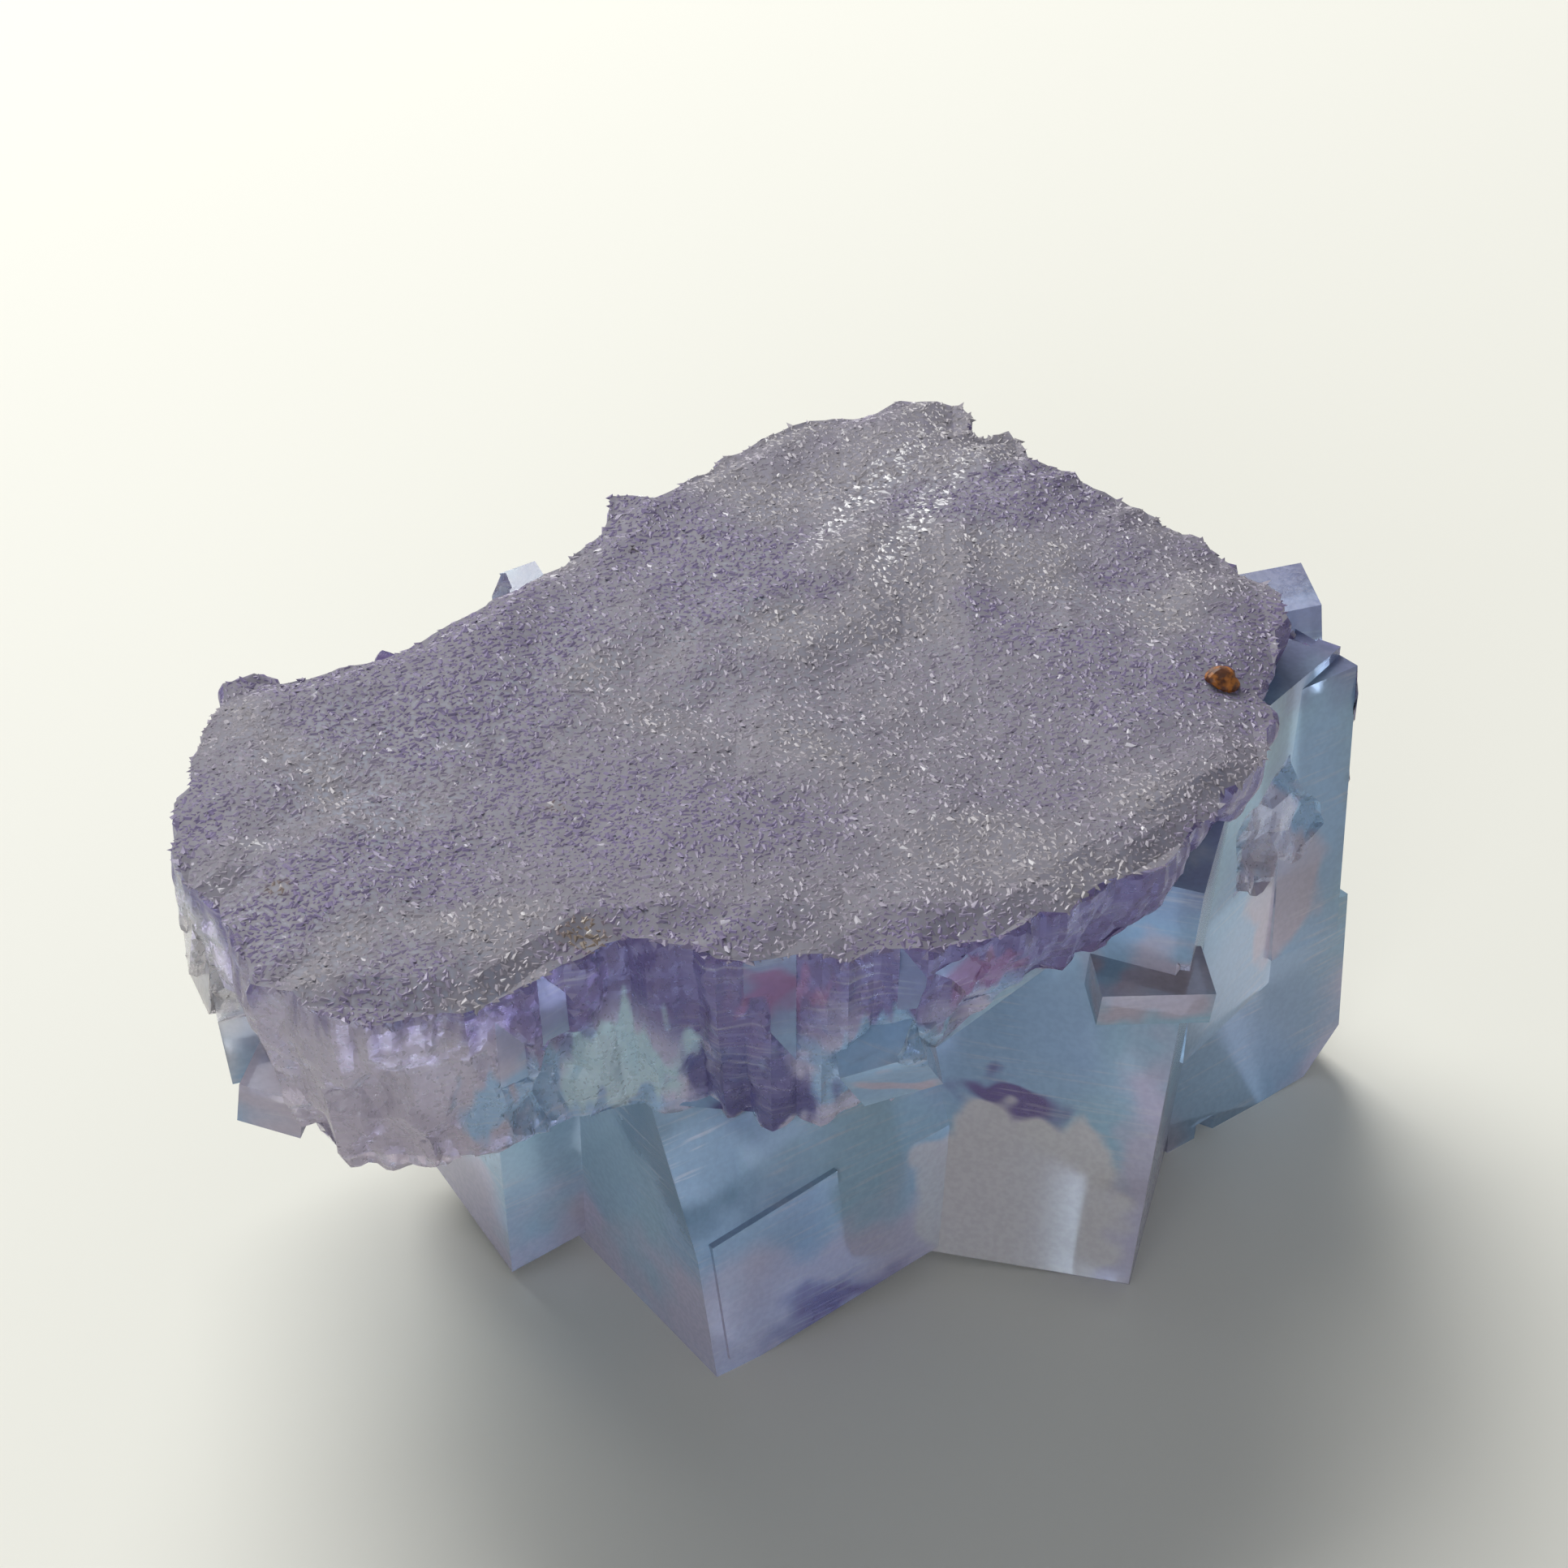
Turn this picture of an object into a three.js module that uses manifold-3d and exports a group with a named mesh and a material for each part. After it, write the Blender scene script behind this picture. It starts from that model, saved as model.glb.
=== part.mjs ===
// A natural cluster of fluorite: cube crystals grown into each other under a violet base crust.
// It lies with the crust upwards, standing on the crystals' lowest corners. Millimetres, +Z up.
// The origin is at the bottom centre of the cluster's box.

import * as THREE from "three";
import { ImprovedNoise } from "three/addons/math/ImprovedNoise.js";
import { mergeVertices } from "three/addons/utils/BufferGeometryUtils.js";
import Module from "manifold-3d";

// Crust
const CRUST_TOP = 24.1; // mean height of the sugary upper face
const RIM_POINTS = 150; // corners of the ragged rim
const WALL_STEPS = 6;
const WALL_LEAN = 1.6; // how far the wall draws in between rim and foot
const GRID = 1.3; // spacing of the upper face's relief
const RIM_DROP = 0.55; // how far the upper face falls at the rim
const RIM_WIDTH = 1.6; // how far in from the rim that fall reaches

// Waves that make a surface uneven: how high they are, and how far apart
const RELIEF_WAVES = [{ height: 0.5, pitch: 9 }, { height: 0.3, pitch: 2.6 }]; // swells and lumps of the top
const RIM_WAVES = [{ height: 0.7, pitch: 2.2 }, { height: 0.45, pitch: 0.9 }]; // scallops of the rim
const GROOVE_WAVES = [{ height: 1.2, pitch: 1.4 }, { height: 0.9, pitch: 3.3 }]; // grooves down the wall
const FOOT_WAVES = [{ height: 0.8, pitch: 2 }]; // teeth of the wall's lower edge

// Outline of the upper face, anticlockwise from the left end
const RIM = [
  [-22.8, -12], [-20.7, -15.4], [-17.4, -20.8], [-11.8, -20.6], [-6.3, -17], [-3.4, -18], [4.4, -17.3],
  [11.2, -13.7], [15, -9.7], [17.6, -4.2], [18.3, 1.4], [19.3, 5.2], [18.3, 7.5], [14, 12.8], [10.2, 16.2],
  [9.4, 18.6], [7.4, 19], [6.8, 21.4], [2.9, 21.3], [-0.1, 19.2], [-3.8, 16.5], [-6, 13.6], [-8.1, 13.2],
  [-8.3, 10.8], [-14, 3.8], [-19.2, 0.1], [-22.2, 0.3], [-22.8, -3.2],
];

// Height of the wall's lower edge along the front, from left to right, and everywhere behind
const FRONT_FOOT = [
  [-22, 16.8], [-17, 16], [-9, 16.4], [-6, 15.6], [1, 15.6], [4.6, 17], [5.8, 20], [13, 20.2], [18, 20.6],
];
const BACK_FOOT = 18.6;

// Crystals: the corner they grow from, how far they reach along their own edges, their turn in degrees,
// and the planes, each a point and an outward direction, where a part has split off
const CRYSTALS = [
  {
    name: "front cube", corner: [-3.4, -14, -0.3], reach: [17, 13.4, 19.5], turn: [6, -5.5, 35.5],
    splits: [{ at: [-4.2, -14.5, 8.1], out: [0.54, -0.79, 0.19] }],
  },
  { name: "front step", corner: [-2.9, -13.9, 0.8], reach: [6, 2, 6.5], turn: [6, -5.5, 35.5] },
  {
    name: "right cube", corner: [12.9, -9.7, -0.2], reach: [-17, 14, 21], turn: [1, 5, -14.5],
    splits: [{ at: [12.8, -9.7, 1], out: [-0.17, -0.68, -0.72] }],
  },
  { name: "small left cube", corner: [-11.8, -8.3, 0.3], reach: [7, 8, 13], turn: [15, 0, 33.5] },
  { name: "small left step", corner: [-11.2, -8.9, 4], reach: [4, 6, 9], turn: [13, -3, 36] },
  {
    name: "right mass", corner: [15.4, -0.6, -0.2], reach: [10, 12, 9], turn: [1, -2, 38],
    splits: [{ at: [21.8, 4.2, 0.2], out: [0.75, 0.1, -0.65] }],
  },
  { name: "right upper mass", corner: [15.4, -3.2, 7], reach: [10, 8, 15], turn: [-3, 2, 55] },
  { name: "right flank", corner: [19.5, 2.3, 8], reach: [3.7, 6, 13], turn: [-2, -1, 36] },
  { name: "right back step", corner: [18.6, 7.8, 18.4], reach: [2.9, 3, 3.2], turn: [5, -6, 10] },
  { name: "front ledge", corner: [10.9, -11.2, 15.4], reach: [4.4, 2.6, 1.5], turn: [6, 6, 8] },
  { name: "front chip", corner: [2.1, -17.1, 16.4], reach: [3, 3.6, 3], turn: [30, -18, 10] },
  { name: "left knob", corner: [-20.5, -17.4, 16], reach: [2.4, 2.6, 2], turn: [10, 8, -14] },
  { name: "left lower step", corner: [-21, -14.9, 15.6], reach: [3, 4, 3.2], turn: [6, -4, 14] },
  { name: "left middle step", corner: [-21.8, -13.8, 18], reach: [3, 3, 2], turn: [-6, 5, 22] },
  { name: "left upper step", corner: [-22.5, -13.1, 19.3], reach: [2.6, 3, 2.4], turn: [8, 9, 12] },
  { name: "left back cube", corner: [-19.2, -5, 9.5], reach: [8, 7, 9.5], turn: [12, 10, 40] },
  { name: "back left cube", corner: [-8.5, -2.5, 0.6], reach: [12, 7, 19], turn: [-3, -6, 46] },
  { name: "back cube", corner: [2, 8, -0.2], reach: [10, 8.5, 20], turn: [6, -5, 30] },
  { name: "back lump", corner: [7.2, 16.4, 19.6], reach: [3.2, 2.6, 3.2], turn: [10, -8, 20] },
];

// Shell-shaped breaks: where the ball that leaves the hollow lies, and its radius
const SCOOPS = [
  { name: "front hollow", at: [-6.4, -21.2, 17.4], radius: 4.6 },
  { name: "left hollow", at: [-15.5, -26, 18.6], radius: 5.8 },
  { name: "left front hollow", at: [-10.5, -24.4, 17.6], radius: 5 },
  { name: "right hollow", at: [22.2, -1.2, 15], radius: 5.2 },
  { name: "middle hollow", at: [7.6, -21.5, 21], radius: 5.4 },
  { name: "back left hollow", at: [-16.5, 8.5, 19.6], radius: 5.4 },
  { name: "back right hollow", at: [16.5, 17, 20.6], radius: 5.2 },
];
const SCOOP_DETAIL = 4; // how finely the ball's surface is divided
const SCOOP_UNEVEN = 0.22; // how far a break departs from a ball

// Small crystals that cover the crust's underside
const DRUSE_COUNT = 24;
const DRUSE_SIZE = [4, 7.5]; // smallest and largest edge
const DRUSE_HEIGHT = 16; // height of the underside they grow from
const DRUSE_MIDDLE = [-4, 0.5];
const DRUSE_SPREAD = [12.5, 9]; // how far they lie from the middle, across and deep
const DRUSE_SINK = 0.55; // share of a small crystal that is inside the crust

// Growth steps and broken edges
const TERRACE = 0.3; // height of the growth steps on a crystal's faces
const TERRACE_SHARE = [0.55, 0.9]; // how much of a face a growth step covers
const STEPPED_FROM = 6; // shortest edge of a small crystal with growth steps
const NICKS = 4; // broken nicks along the edges of a large crystal
const NICKED_FROM = 6; // shortest edge of such a crystal
const NICK_SIZE = [0.7, 1.7];
const SEED = 7;

const wasm = await Module();
wasm.setup();
const noise = new ImprovedNoise();

// Repeatable random numbers from 0 to 1
function randomFrom(seed) {
  let state = seed;
  return () => {
    state = (state + 0x6d2b79f5) | 0;
    let t = Math.imul(state ^ (state >>> 15), 1 | state);
    t = (t + Math.imul(t ^ (t >>> 7), 61 | t)) ^ t;
    return ((t ^ (t >>> 14)) >>> 0) / 4294967296;
  };
}

// Height of a set of waves at a place
function unevenness(waves, x, y, layer) {
  return waves.reduce((sum, { height, pitch }) => sum + height * noise.noise(x / pitch, y / pitch, layer), 0);
}

const between = (random, [low, high]) => low + (high - low) * random();

// A closed three.js geometry as a solid
function makeSolid(geometry) {
  geometry.deleteAttribute("normal");
  geometry.deleteAttribute("uv");
  const merged = mergeVertices(geometry, 1e-4);
  return new wasm.Manifold(
    new wasm.Mesh({
      numProp: 3,
      vertProperties: new Float32Array(merged.attributes.position.array),
      triVerts: new Uint32Array(merged.index.array),
    }),
  );
}

// A solid as a three.js geometry with flat faces
function makeGeometry(solid) {
  const mesh = solid.getMesh();
  const indexed = new THREE.BufferGeometry()
    .setAttribute("position", new THREE.BufferAttribute(mesh.vertProperties, 3))
    .setIndex(new THREE.BufferAttribute(mesh.triVerts, 1));
  const geometry = indexed.toNonIndexed();
  geometry.computeVertexNormals();
  return geometry;
}

const turned = (turn) => new THREE.Euler(...turn.map(THREE.MathUtils.degToRad), "XYZ");

// A box between two corners in a crystal's own axes, carried to where the crystal stands
function boxSolid(low, high, placed) {
  const size = high.clone().sub(low);
  const centre = low.clone().add(high).multiplyScalar(0.5);
  const box = new THREE.BoxGeometry(Math.abs(size.x), Math.abs(size.y), Math.abs(size.z));
  return makeSolid(box.translate(centre.x, centre.y, centre.z).applyMatrix4(placed));
}

// Growth steps: one raised plate on each pair of opposite faces
function terraces(reach, placed, random) {
  return ["x", "y", "z"].map((axis) => {
    const low = new THREE.Vector3();
    const high = reach.clone();
    for (const other of ["x", "y", "z"]) {
      const span = reach[other];
      const share = between(random, TERRACE_SHARE);
      const start = (1 - share) * random();
      low[other] = span * start;
      high[other] = span * (start + share);
    }
    low[axis] = -TERRACE * Math.sign(reach[axis]);
    high[axis] = reach[axis] + TERRACE * Math.sign(reach[axis]);
    return boxSolid(low, high, placed);
  });
}

// A broken nick somewhere along one of the twelve edges
function nick(reach, placed, random) {
  const along = Math.floor(random() * 3);
  const share = [0, 1, 2].map((i) => (i === along ? 0.1 + 0.8 * random() : Math.round(random())));
  const at = new THREE.Vector3(...share).multiply(reach).applyMatrix4(placed);
  const size = between(random, NICK_SIZE);
  const turn = new THREE.Euler(random() * 3, random() * 3, random() * 3);
  const cut = new THREE.BoxGeometry(size, size * 1.6, size).applyMatrix4(
    new THREE.Matrix4().makeRotationFromEuler(turn).setPosition(at),
  );
  return makeSolid(cut);
}

// What lies beyond a plane where a part has split off
function beyond({ at, out }) {
  const size = 60;
  const facing = new THREE.Quaternion().setFromUnitVectors(
    new THREE.Vector3(0, 0, 1), new THREE.Vector3(...out).normalize(),
  );
  const block = new THREE.BoxGeometry(size, size, size).translate(0, 0, size / 2);
  return makeSolid(block.applyQuaternion(facing).translate(...at));
}

// One crystal: a box with its growth steps, its broken nicks and what has split off
function crystalSolid({ corner, reach, turn, splits = [], stepped = false }, number) {
  const random = randomFrom(SEED + number);
  const placed = new THREE.Matrix4().makeRotationFromEuler(turned(turn)).setPosition(...corner);
  const far = new THREE.Vector3(...reach);
  const nicks = Math.min(...reach.map(Math.abs)) < NICKED_FROM ? 0 : NICKS;
  let solid = boxSolid(new THREE.Vector3(), far, placed);
  if (stepped) {
    for (const plate of terraces(far, placed, random)) solid = solid.add(plate);
  }
  for (let i = 0; i < nicks; i++) solid = solid.subtract(nick(far, placed, random));
  for (const split of splits) solid = solid.subtract(beyond(split));
  return solid;
}

// The ragged rim as points in plan
function rimPoints() {
  const curve = new THREE.CatmullRomCurve3(
    RIM.map(([x, y]) => new THREE.Vector3(x, y, 0)), true, "catmullrom", 0.5,
  );
  return curve.getSpacedPoints(RIM_POINTS).slice(0, RIM_POINTS).map((p) => {
    const ragged = unevenness(RIM_WAVES, p.x, p.y, 3.3);
    const outward = new THREE.Vector2(p.x, p.y).normalize();
    return new THREE.Vector2(p.x + outward.x * ragged, p.y + outward.y * ragged);
  });
}

// Height of the wall's lower edge at a place on the rim
function footHeight(x, y) {
  if (y > 0) return BACK_FOOT;
  const after = FRONT_FOOT.findIndex(([at]) => at >= x);
  if (after <= 0) return FRONT_FOOT[after < 0 ? FRONT_FOOT.length - 1 : 0][1];
  const [[x0, z0], [x1, z1]] = [FRONT_FOOT[after - 1], FRONT_FOOT[after]];
  return THREE.MathUtils.mapLinear(x, x0, x1, z0, z1);
}

// Broken wall of the crust: grooved from rim to foot, and drawn in towards the foot
function wallSolid(rim) {
  const wall = new THREE.ExtrudeGeometry(new THREE.Shape(rim), {
    depth: 1, steps: WALL_STEPS, bevelEnabled: false,
  });
  const place = wall.attributes.position;
  for (let i = 0; i < place.count; i++) {
    const [x, y, share] = [place.getX(i), place.getY(i), place.getZ(i)];
    const foot = footHeight(x, y) + unevenness(FOOT_WAVES, x, y, 5.5);
    const down = 1 - share;
    const outward = new THREE.Vector2(x, y).normalize();
    const move = down * (unevenness(GROOVE_WAVES, x, y, down) - WALL_LEAN * down);
    place.setXYZ(i, x + outward.x * move, y + outward.y * move, foot + share * (CRUST_TOP + 1.5 - foot));
  }
  return makeSolid(wall);
}

// Upper face: a block whose top has long swells and small lumps and falls towards the rim
function bedSolid(rim) {
  const span = 52;
  const cells = Math.round(span / GRID);
  const depth = 20;
  const block = new THREE.BoxGeometry(span, span, depth, cells, cells, 1);
  const place = block.attributes.position;
  for (let i = 0; i < place.count; i++) {
    const [x, y, z] = [place.getX(i), place.getY(i), place.getZ(i)];
    if (z < 0) continue;
    const inside = Math.min(...rim.map((p) => Math.hypot(p.x - x, p.y - y)));
    const fall = RIM_DROP * (1 - THREE.MathUtils.smoothstep(inside, 0, RIM_WIDTH));
    place.setZ(i, depth / 2 + unevenness(RELIEF_WAVES, x, y, 1.7) - fall);
  }
  return makeSolid(block.translate(0, 0, CRUST_TOP - depth / 2));
}

function crustSolid() {
  const rim = rimPoints();
  return bedSolid(rim).intersect(wallSolid(rim));
}

// Small crystals of mixed size and turn, spread over the underside
function druse() {
  const random = randomFrom(SEED);
  const made = [];
  for (let i = 0; i < DRUSE_COUNT; i++) {
    const around = i * Math.PI * (3 - Math.sqrt(5));
    const out = Math.sqrt((i + 0.5) / DRUSE_COUNT);
    const size = between(random, DRUSE_SIZE);
    made.push({
      corner: [
        DRUSE_MIDDLE[0] + DRUSE_SPREAD[0] * out * Math.cos(around),
        DRUSE_MIDDLE[1] + DRUSE_SPREAD[1] * out * Math.sin(around),
        DRUSE_HEIGHT - size * (1 - DRUSE_SINK),
      ],
      reach: [size, size, size],
      turn: [random() * 50 - 25, random() * 50 - 25, random() * 90],
      stepped: size > STEPPED_FROM,
    });
  }
  return made;
}

// An uneven ball whose surface is left behind as a shell-shaped break
function scoopSolid({ at, radius }) {
  const ball = new THREE.IcosahedronGeometry(radius, SCOOP_DETAIL);
  const place = ball.attributes.position;
  const point = new THREE.Vector3();
  for (let i = 0; i < place.count; i++) {
    point.fromBufferAttribute(place, i);
    const uneven = noise.noise(0.5 * point.x + at[0], 0.5 * point.y + at[1], 0.5 * point.z + at[2]);
    point.multiplyScalar(1 + SCOOP_UNEVEN * uneven);
    place.setXYZ(i, ...point);
  }
  return makeSolid(ball.translate(...at));
}

// Everything grown together, cut off level where the lowest corners rest
function clusterSolid() {
  const floor = makeSolid(new THREE.BoxGeometry(200, 200, 100).translate(0, 0, 50));
  let solid = crustSolid();
  for (const crystal of [...CRYSTALS, ...druse()].map(crystalSolid)) solid = solid.add(crystal);
  for (const scoop of SCOOPS) solid = solid.subtract(scoopSolid(scoop));
  return wholePiece(solid.intersect(floor));
}

// The largest body alone, without loose chips and without hollows closed in on all sides
function wholePiece(solid) {
  const bodies = solid.decompose();
  return bodies.reduce((best, body) => (body.volume() > best.volume() ? body : best));
}

const geometry = makeGeometry(clusterSolid());
geometry.computeBoundingBox();
const middle = geometry.boundingBox.getCenter(new THREE.Vector3());
geometry.translate(-middle.x, -middle.y, -geometry.boundingBox.min.z);

const fluorite = new THREE.MeshStandardMaterial({ color: 0x7d86a8, roughness: 0.15, metalness: 0 });
const cluster = new THREE.Mesh(geometry, fluorite);
cluster.name = "fluorite_cluster";

const specimen = new THREE.Group();
specimen.add(cluster);

export default specimen;
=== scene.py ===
"""Looks of a fluorite cube cluster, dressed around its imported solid.

The clear blue and violet cubes are one see-through piece with a broken violet wall, the sugary crust on
top is a layer of small crystal grains, and one rusty grain lies on it.
"""

import math
import random

import bmesh
import bpy
from bpy.props import FloatProperty, FloatVectorProperty, IntProperty, PointerProperty
from mathutils import Matrix, Quaternion, Vector, noise
from mathutils.bvhtree import BVHTree


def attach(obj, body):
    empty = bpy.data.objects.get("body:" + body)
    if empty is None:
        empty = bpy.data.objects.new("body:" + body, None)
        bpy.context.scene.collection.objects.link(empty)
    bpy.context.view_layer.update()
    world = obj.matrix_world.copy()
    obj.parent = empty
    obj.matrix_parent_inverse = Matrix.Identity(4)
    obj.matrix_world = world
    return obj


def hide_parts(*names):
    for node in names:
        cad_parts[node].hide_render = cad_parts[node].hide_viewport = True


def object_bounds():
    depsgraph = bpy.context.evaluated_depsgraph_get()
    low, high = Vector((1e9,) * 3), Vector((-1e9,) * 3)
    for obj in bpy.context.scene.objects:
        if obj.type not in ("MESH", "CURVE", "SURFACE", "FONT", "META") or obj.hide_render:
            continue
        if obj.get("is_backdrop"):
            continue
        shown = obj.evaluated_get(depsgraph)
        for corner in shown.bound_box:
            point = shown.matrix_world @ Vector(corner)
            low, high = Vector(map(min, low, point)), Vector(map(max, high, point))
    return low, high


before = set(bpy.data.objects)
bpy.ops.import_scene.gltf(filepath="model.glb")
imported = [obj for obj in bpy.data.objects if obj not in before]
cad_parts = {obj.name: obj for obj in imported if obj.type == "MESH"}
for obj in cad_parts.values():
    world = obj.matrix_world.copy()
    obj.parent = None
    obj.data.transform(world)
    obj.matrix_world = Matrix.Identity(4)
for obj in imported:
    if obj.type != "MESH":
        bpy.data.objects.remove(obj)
CAD_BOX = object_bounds()

bl_info = {
    "name": "Fluorite Cube Cluster",
    "version": (1, 0, 0),
    "blender": (4, 5, 0),
    "location": "View3D > Sidebar > Fluorite",
    "description": "Builds the looks of a fluorite cube cluster around its solid",
    "category": "Object",
}

NODE = "fluorite_cluster"
BODY = "root"
MM = 0.001

FLUORITE_IOR = 1.434

# Far end of the step on the front cube: the box it fills, a point on the cube's face below it and the
# way that face looks, in millimetres, and the height that is left where the step has run out
STEP_LOW = (1.0, -12.0, 0.2)
STEP_HIGH = (2.6, -10.2, 8.6)
STEP_FOOT = (2.1, -10.5, 3.4)
STEP_OUTWARD = (0.58, -0.82, -0.03)
STEP_LEFT = 0.01

# Kinds of surface on the cluster, kept on its faces
CRYSTAL, BROKEN, CRUST = range(3)

# Cosine between two triangles of one flat face, and least upward share of a crust face's normal
SAME_PLANE = 0.9998
FACING_UP = 0.5

# Edges from this angle on are worn, unless they are shorter than so many widths
WORN_FROM = math.radians(30.0)
WORN_LENGTH = 6.0
FLAT_WITHIN = math.radians(0.6)

# Rounds of splitting that bring the longest edge of the wall down to its grain
SPLIT_ROUNDS = 6

# Height of a sugar grain, as a share of its width
GRAIN_HEIGHT = 0.16

# Height in metres from which rays look down for the crust
LOOKOUT = 0.1

# Middle of the rusty grain, in millimetres
RUST_PLACE = (16.29, -0.92, 24.1)

# Places of the two lights, in metres
KEY_PLACE = (-0.22, 0.42, 0.52)
FILL_PLACE = (-0.12, -0.58, 0.14)


def colour_property(name, description, default):
    """A linear colour that a user can change."""
    return FloatVectorProperty(
        name=name, description=description, default=default, subtype="COLOR", size=3, min=0.0, max=1.0
    )


class ClusterLook(bpy.types.PropertyGroup):
    """Sizes and colours of the see-through cluster."""

    flat_area: FloatProperty(
        name="Smallest crystal face",
        description="Flat areas from this size on, in square millimetres, are crystal faces",
        default=2.0,
        min=0.1,
    )
    wall_foot: FloatProperty(
        name="Foot of the wall",
        description="Lowest height of the broken wall",
        default=0.0125,
        unit="LENGTH",
    )
    crust_foot: FloatProperty(
        name="Foot of the crust", description="Lowest height of the crust", default=0.0223, unit="LENGTH"
    )
    edge_width: FloatProperty(
        name="Edge width", description="Width of the worn cube edges", default=0.00012, unit="LENGTH"
    )
    broken_step: FloatProperty(
        name="Broken grain", description="Longest edge on the broken wall", default=0.0004, unit="LENGTH"
    )
    broken_height: FloatProperty(
        name="Broken height",
        description="Height of the splinters on the broken wall",
        default=0.00045,
        unit="LENGTH",
    )
    clear: colour_property("Clear", "Windows and thin cubes", (0.94, 0.90, 0.92))
    blue: colour_property("Blue", "Middle of the cubes", (0.46, 0.67, 0.94))
    turquoise: colour_property("Turquoise", "Bright parts of the cubes", (0.50, 0.75, 0.95))
    pale: colour_property("Pale", "Bright broken facets", (0.70, 0.90, 1.0))
    dim: colour_property("Dim", "Shaded middle of the front cube", (0.22, 0.38, 0.54))
    lilac: colour_property("Lilac", "Foot of the cubes", (0.78, 0.74, 0.94))
    pink: colour_property("Pink", "Thin broken plates", (0.72, 0.64, 0.76))
    magenta: colour_property("Magenta", "Deepest spots of the wall", (0.40, 0.20, 0.42))
    violet: colour_property("Violet", "Broken wall under the crust", (0.26, 0.20, 0.45))
    deep_violet: colour_property("Deep violet", "Darkest patches", (0.19, 0.17, 0.40))
    ground: colour_property("Ground", "Crust between the sugar grains", (0.36, 0.34, 0.42))


class SugarLook(bpy.types.PropertyGroup):
    """Sizes and colours of the sugary crust."""

    pitch: FloatProperty(
        name="Spacing", description="Distance between neighbouring grains", default=0.00022, unit="LENGTH"
    )
    smallest: FloatProperty(
        name="Smallest grain", description="Width of the smallest grain", default=0.00030, unit="LENGTH"
    )
    largest: FloatProperty(
        name="Largest grain", description="Width of the largest grain", default=0.00070, unit="LENGTH"
    )
    lean: FloatProperty(
        name="Lean",
        description="How far a grain leans out of the crust",
        default=math.radians(22.0),
        subtype="ANGLE",
        unit="ROTATION",
    )
    seed: IntProperty(name="Seed", description="Which scatter of grains is used", default=11)
    grey: colour_property("Grey", "Warm grey grains", (0.33, 0.31, 0.345))
    violet: colour_property("Violet", "Violet grains", (0.19, 0.16, 0.28))
    # Frost colour, also painted on a few grains as white glints
    frost_and_glint: colour_property("Frost", "White frosty flecks", (0.80, 0.80, 0.83))
    stain: colour_property("Stain", "Yellowish stains", (0.22, 0.17, 0.08))
    speck: colour_property("Speck", "Dark specks", (0.05, 0.04, 0.05))


class RustLook(bpy.types.PropertyGroup):
    """Size and colours of the rusty grain."""

    size: FloatProperty(name="Size", description="Width of the grain", default=0.0013, unit="LENGTH")
    light: colour_property("Light", "Rusty orange", (0.38, 0.13, 0.02))
    dark: colour_property("Dark", "Dark brown", (0.10, 0.03, 0.01))


class StageLook(bpy.types.PropertyGroup):
    """Floor, light and camera."""

    floor: colour_property("Floor", "Pale floor", (0.76, 0.76, 0.71))
    key_power: FloatProperty(
        name="Key light", description="Soft light behind the cluster", default=6.2, unit="POWER"
    )
    fill_power: FloatProperty(
        name="Fill light", description="Soft low light in front", default=1.55, unit="POWER"
    )
    sky: FloatProperty(
        name="Sky", description="Strength of the even light all round", default=0.22, min=0.0
    )
    aim: FloatVectorProperty(
        name="Aim",
        description="Point in the middle of the picture",
        default=(-0.00059, 0.007915, 0.013),
        subtype="XYZ",
        unit="LENGTH",
    )
    distance: FloatProperty(
        name="Distance", description="From the camera to the aim", default=0.1554, unit="LENGTH"
    )
    elevation: FloatProperty(
        name="Elevation",
        description="How far the camera looks down",
        default=math.radians(35.0),
        subtype="ANGLE",
        unit="ROTATION",
    )
    view_angle: FloatProperty(
        name="View angle",
        description="Width of the picture",
        default=math.radians(24.0),
        subtype="ANGLE",
        unit="ROTATION",
    )


def add_object(name, mesh, material):
    """Makes a mesh an object at the origin that rides on the cluster's body."""
    mesh.materials.append(material)
    piece = bpy.data.objects.new(name, mesh)
    bpy.context.scene.collection.objects.link(piece)
    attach(piece, BODY)
    return piece


def add_piece(name, shape, material):
    """Makes a bmesh an object that rides on the cluster's body."""
    mesh = bpy.data.meshes.new(name)
    shape.to_mesh(mesh)
    shape.free()
    return add_object(name, mesh, material)


# Node helpers


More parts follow.
